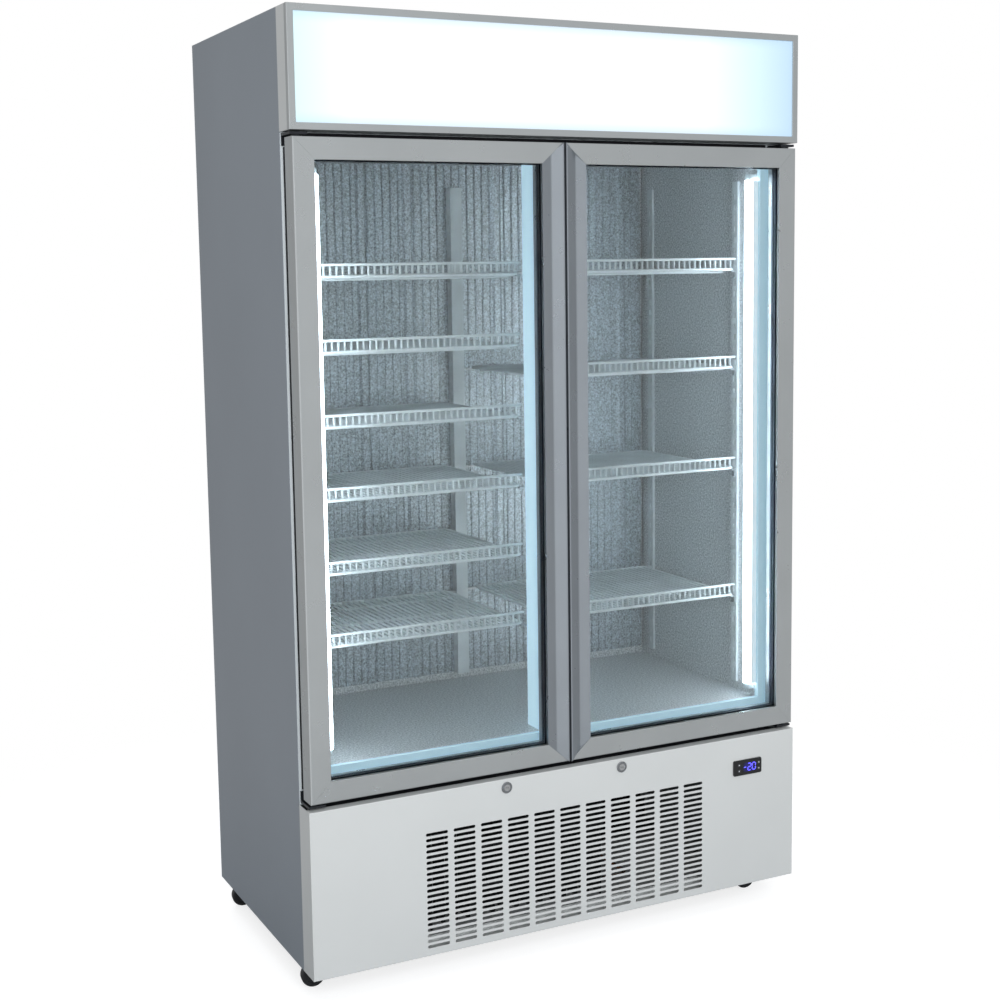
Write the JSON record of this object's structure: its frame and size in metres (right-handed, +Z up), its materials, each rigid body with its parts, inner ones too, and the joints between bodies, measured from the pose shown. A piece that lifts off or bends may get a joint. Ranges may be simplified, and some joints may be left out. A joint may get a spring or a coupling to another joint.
{
  "type": "glass door freezer",
  "caption": "Upright display freezer with hinged glass doors, a lit header panel, wire shelves, a slotted lower grille with controller and locks, and swivel casters.",
  "frame": {"origin": "on the floor, under the middle of the outer box", "axes": "+X to the right as seen from the front, +Y to the back, +Z up; the doors face -Y"},
  "size_m": [1.2, 0.653, 2],
  "materials": {
    "painted_steel_grey": "satin mid-grey powder coat on sheet steel",
    "painted_steel_silver": "satin pale silver paint on sheet steel",
    "galvanised_steel": "dull galvanised sheet",
    "zinc_plated_steel": "bright zinc plate",
    "polyurethane_foam": "matt foam between the sheets",
    "stucco_aluminium": "stucco-embossed bright sheet",
    "finned_aluminium": "mill finish fins",
    "anodised_aluminium": "satin silver anodised profile",
    "white_plastic": "smooth satin white",
    "opal_acrylic": "smooth opal diffuser, lit from behind",
    "lamp_tube": "frosted lamp cover, lit",
    "chromed_zinc": "polished chrome",
    "brass_plug": "nickel plated brass",
    "black_plastic": "fine-grained black",
    "grey_plastic": "soft grey key",
    "display_window": "dark glossy display window",
    "coated_steel_white": "white powder coat",
    "coated_wire_white": "white plastic coated wire",
    "motor_metal": "black lacquered motor",
    "compressor_enamel": "black enamelled shell",
    "copper_pipe": "drawn copper tube",
    "door_glass": "clear float glass",
    "spacer_dark": "dark edge spacer and sealant",
    "gasket_rubber": "soft grey seal",
    "caster_nylon": "black nylon wheel"
  },
  "bodies": {
    "cabinet": {"base_frame": "galvanised_steel", "side_panel_left": "painted_steel_grey", "side_panel_right": "painted_steel_grey", "back_panel": "galvanised_steel", "top_panel": "painted_steel_grey", "cable_gland": "black_plastic", "insulation_foam": "polyurethane_foam", "inner_liner": "stucco_aluminium", "back_duct_panel": "stucco_aluminium", "evaporator_cover": "stucco_aluminium", "opening_trim": "white_plastic", "centre_mullion": "white_plastic", "light_box_housing": "painted_steel_silver", "light_box_frame": "anodised_aluminium", "light_box_panel": "opal_acrylic", "light_box_lamps": "lamp_tube", "grille_panel": "painted_steel_silver", "lock_housings": "chromed_zinc", "controller_case": "black_plastic", "controller_screen": "display_window", "interior_lamps": "lamp_tube", "lamp_clips": "white_plastic", "shelf_pilasters": "coated_steel_white", "shelf_clips": "galvanised_steel", "shelves_left": "coated_wire_white", "shelves_right": "coated_wire_white", "evaporator_coil": "finned_aluminium", "fan_motors": "motor_metal", "compressor": "compressor_enamel", "condenser_coil": "finned_aluminium", "refrigerant_pipes": "copper_pipe", "condensate_tray": "black_plastic", "hinge_brackets": "zinc_plated_steel"},
    "left_door": {"door_left_frame": "anodised_aluminium", "door_left_grip_stile": "anodised_aluminium", "door_left_glass": "door_glass", "door_left_spacers": "spacer_dark", "door_left_gasket": "gasket_rubber"},
    "right_door": {"door_right_frame": "anodised_aluminium", "door_right_grip_stile": "anodised_aluminium", "door_right_glass": "door_glass", "door_right_spacers": "spacer_dark", "door_right_gasket": "gasket_rubber"},
    "left_lock": {"lock_plug_left": "brass_plug"},
    "right_lock": {"lock_plug_right": "brass_plug"},
    "key_1": {"controller_key_1": "grey_plastic"},
    "key_2": {"controller_key_2": "grey_plastic"},
    "key_3": {"controller_key_3": "grey_plastic"},
    "key_4": {"controller_key_4": "grey_plastic"},
    "left_evaporator_fan": {"evaporator_fan_left": "black_plastic"},
    "right_evaporator_fan": {"evaporator_fan_right": "black_plastic"},
    "condenser_fan_rotor": {"condenser_fan": "black_plastic"},
    "caster_front_left": {"caster_fork_front_left": "zinc_plated_steel"},
    "wheel_front_left": {"caster_wheel_front_left": "caster_nylon"},
    "caster_front_right": {"caster_fork_front_right": "zinc_plated_steel"},
    "wheel_front_right": {"caster_wheel_front_right": "caster_nylon"},
    "caster_rear_left": {"caster_fork_rear_left": "zinc_plated_steel"},
    "wheel_rear_left": {"caster_wheel_rear_left": "caster_nylon"},
    "caster_rear_right": {"caster_fork_rear_right": "zinc_plated_steel"},
    "wheel_rear_right": {"caster_wheel_rear_right": "caster_nylon"}
  },
  "joints": [
    {"name": "left_door_hinge", "type": "hinge", "parent": "cabinet", "child": "left_door", "pos_m": [-0.579, -0.2995, 1.088], "axis": [0, 0, -1], "range_deg": [0, 110]},
    {"name": "right_door_hinge", "type": "hinge", "parent": "cabinet", "child": "right_door", "pos_m": [0.579, -0.2995, 1.088], "axis": [0, 0, 1], "range_deg": [0, 110]},
    {"name": "left_lock_turn", "type": "hinge", "parent": "cabinet", "child": "left_lock", "pos_m": [-0.155, -0.3, 0.391], "axis": [0, -1, 0], "range_deg": [0, 90]},
    {"name": "right_lock_turn", "type": "hinge", "parent": "cabinet", "child": "right_lock", "pos_m": [0.131, -0.3, 0.391], "axis": [0, 1, 0], "range_deg": [0, 90]},
    {"name": "key_1_press", "type": "slide", "parent": "cabinet", "child": "key_1", "axis": [0, 1, 0], "range_m": [0, 0.0005], "stiffness_N_per_m": 2000},
    {"name": "key_2_press", "type": "slide", "parent": "cabinet", "child": "key_2", "axis": [0, 1, 0], "range_m": [0, 0.0005], "stiffness_N_per_m": 2000},
    {"name": "key_3_press", "type": "slide", "parent": "cabinet", "child": "key_3", "axis": [0, 1, 0], "range_m": [0, 0.0005], "stiffness_N_per_m": 2000},
    {"name": "key_4_press", "type": "slide", "parent": "cabinet", "child": "key_4", "axis": [0, 1, 0], "range_m": [0, 0.0005], "stiffness_N_per_m": 2000},
    {"name": "left_evaporator_fan_spin", "type": "hinge", "parent": "cabinet", "child": "left_evaporator_fan", "pos_m": [-0.2875, -0.1015, 1.762], "axis": [0, 0, 1], "continuous": true},
    {"name": "right_evaporator_fan_spin", "type": "hinge", "parent": "cabinet", "child": "right_evaporator_fan", "pos_m": [0.2875, -0.1015, 1.762], "axis": [0, 0, 1], "continuous": true},
    {"name": "condenser_fan_spin", "type": "hinge", "parent": "cabinet", "child": "condenser_fan_rotor", "pos_m": [-0.09, -0.1695, 0.212], "axis": [0, 1, 0], "continuous": true},
    {"name": "front_left_swivel", "type": "hinge", "parent": "cabinet", "child": "caster_front_left", "pos_m": [-0.55, -0.2235, 0.07], "axis": [0, 0, 1], "continuous": true},
    {"name": "front_right_swivel", "type": "hinge", "parent": "cabinet", "child": "caster_front_right", "pos_m": [0.55, -0.2235, 0.07], "axis": [0, 0, 1], "continuous": true},
    {"name": "rear_left_swivel", "type": "hinge", "parent": "cabinet", "child": "caster_rear_left", "pos_m": [-0.55, 0.2585, 0.07], "axis": [0, 0, 1], "continuous": true},
    {"name": "rear_right_swivel", "type": "hinge", "parent": "cabinet", "child": "caster_rear_right", "pos_m": [0.55, 0.2585, 0.07], "axis": [0, 0, 1], "continuous": true},
    {"name": "front_left_roll", "type": "hinge", "parent": "caster_front_left", "child": "wheel_front_left", "pos_m": [-0.56783, -0.22099, 0.025], "axis": [-0.1392, -0.9903, 0], "continuous": true},
    {"name": "front_right_roll", "type": "hinge", "parent": "caster_front_right", "child": "wheel_front_right", "pos_m": [0.53217, -0.22099, 0.025], "axis": [-0.1392, -0.9903, 0], "continuous": true},
    {"name": "rear_left_roll", "type": "hinge", "parent": "caster_rear_left", "child": "wheel_rear_left", "pos_m": [-0.56783, 0.261, 0.025], "axis": [-0.1392, -0.9903, 0], "continuous": true},
    {"name": "rear_right_roll", "type": "hinge", "parent": "caster_rear_right", "child": "wheel_rear_right", "pos_m": [0.53217, 0.261, 0.025], "axis": [-0.1392, -0.9903, 0], "continuous": true}
  ]
}
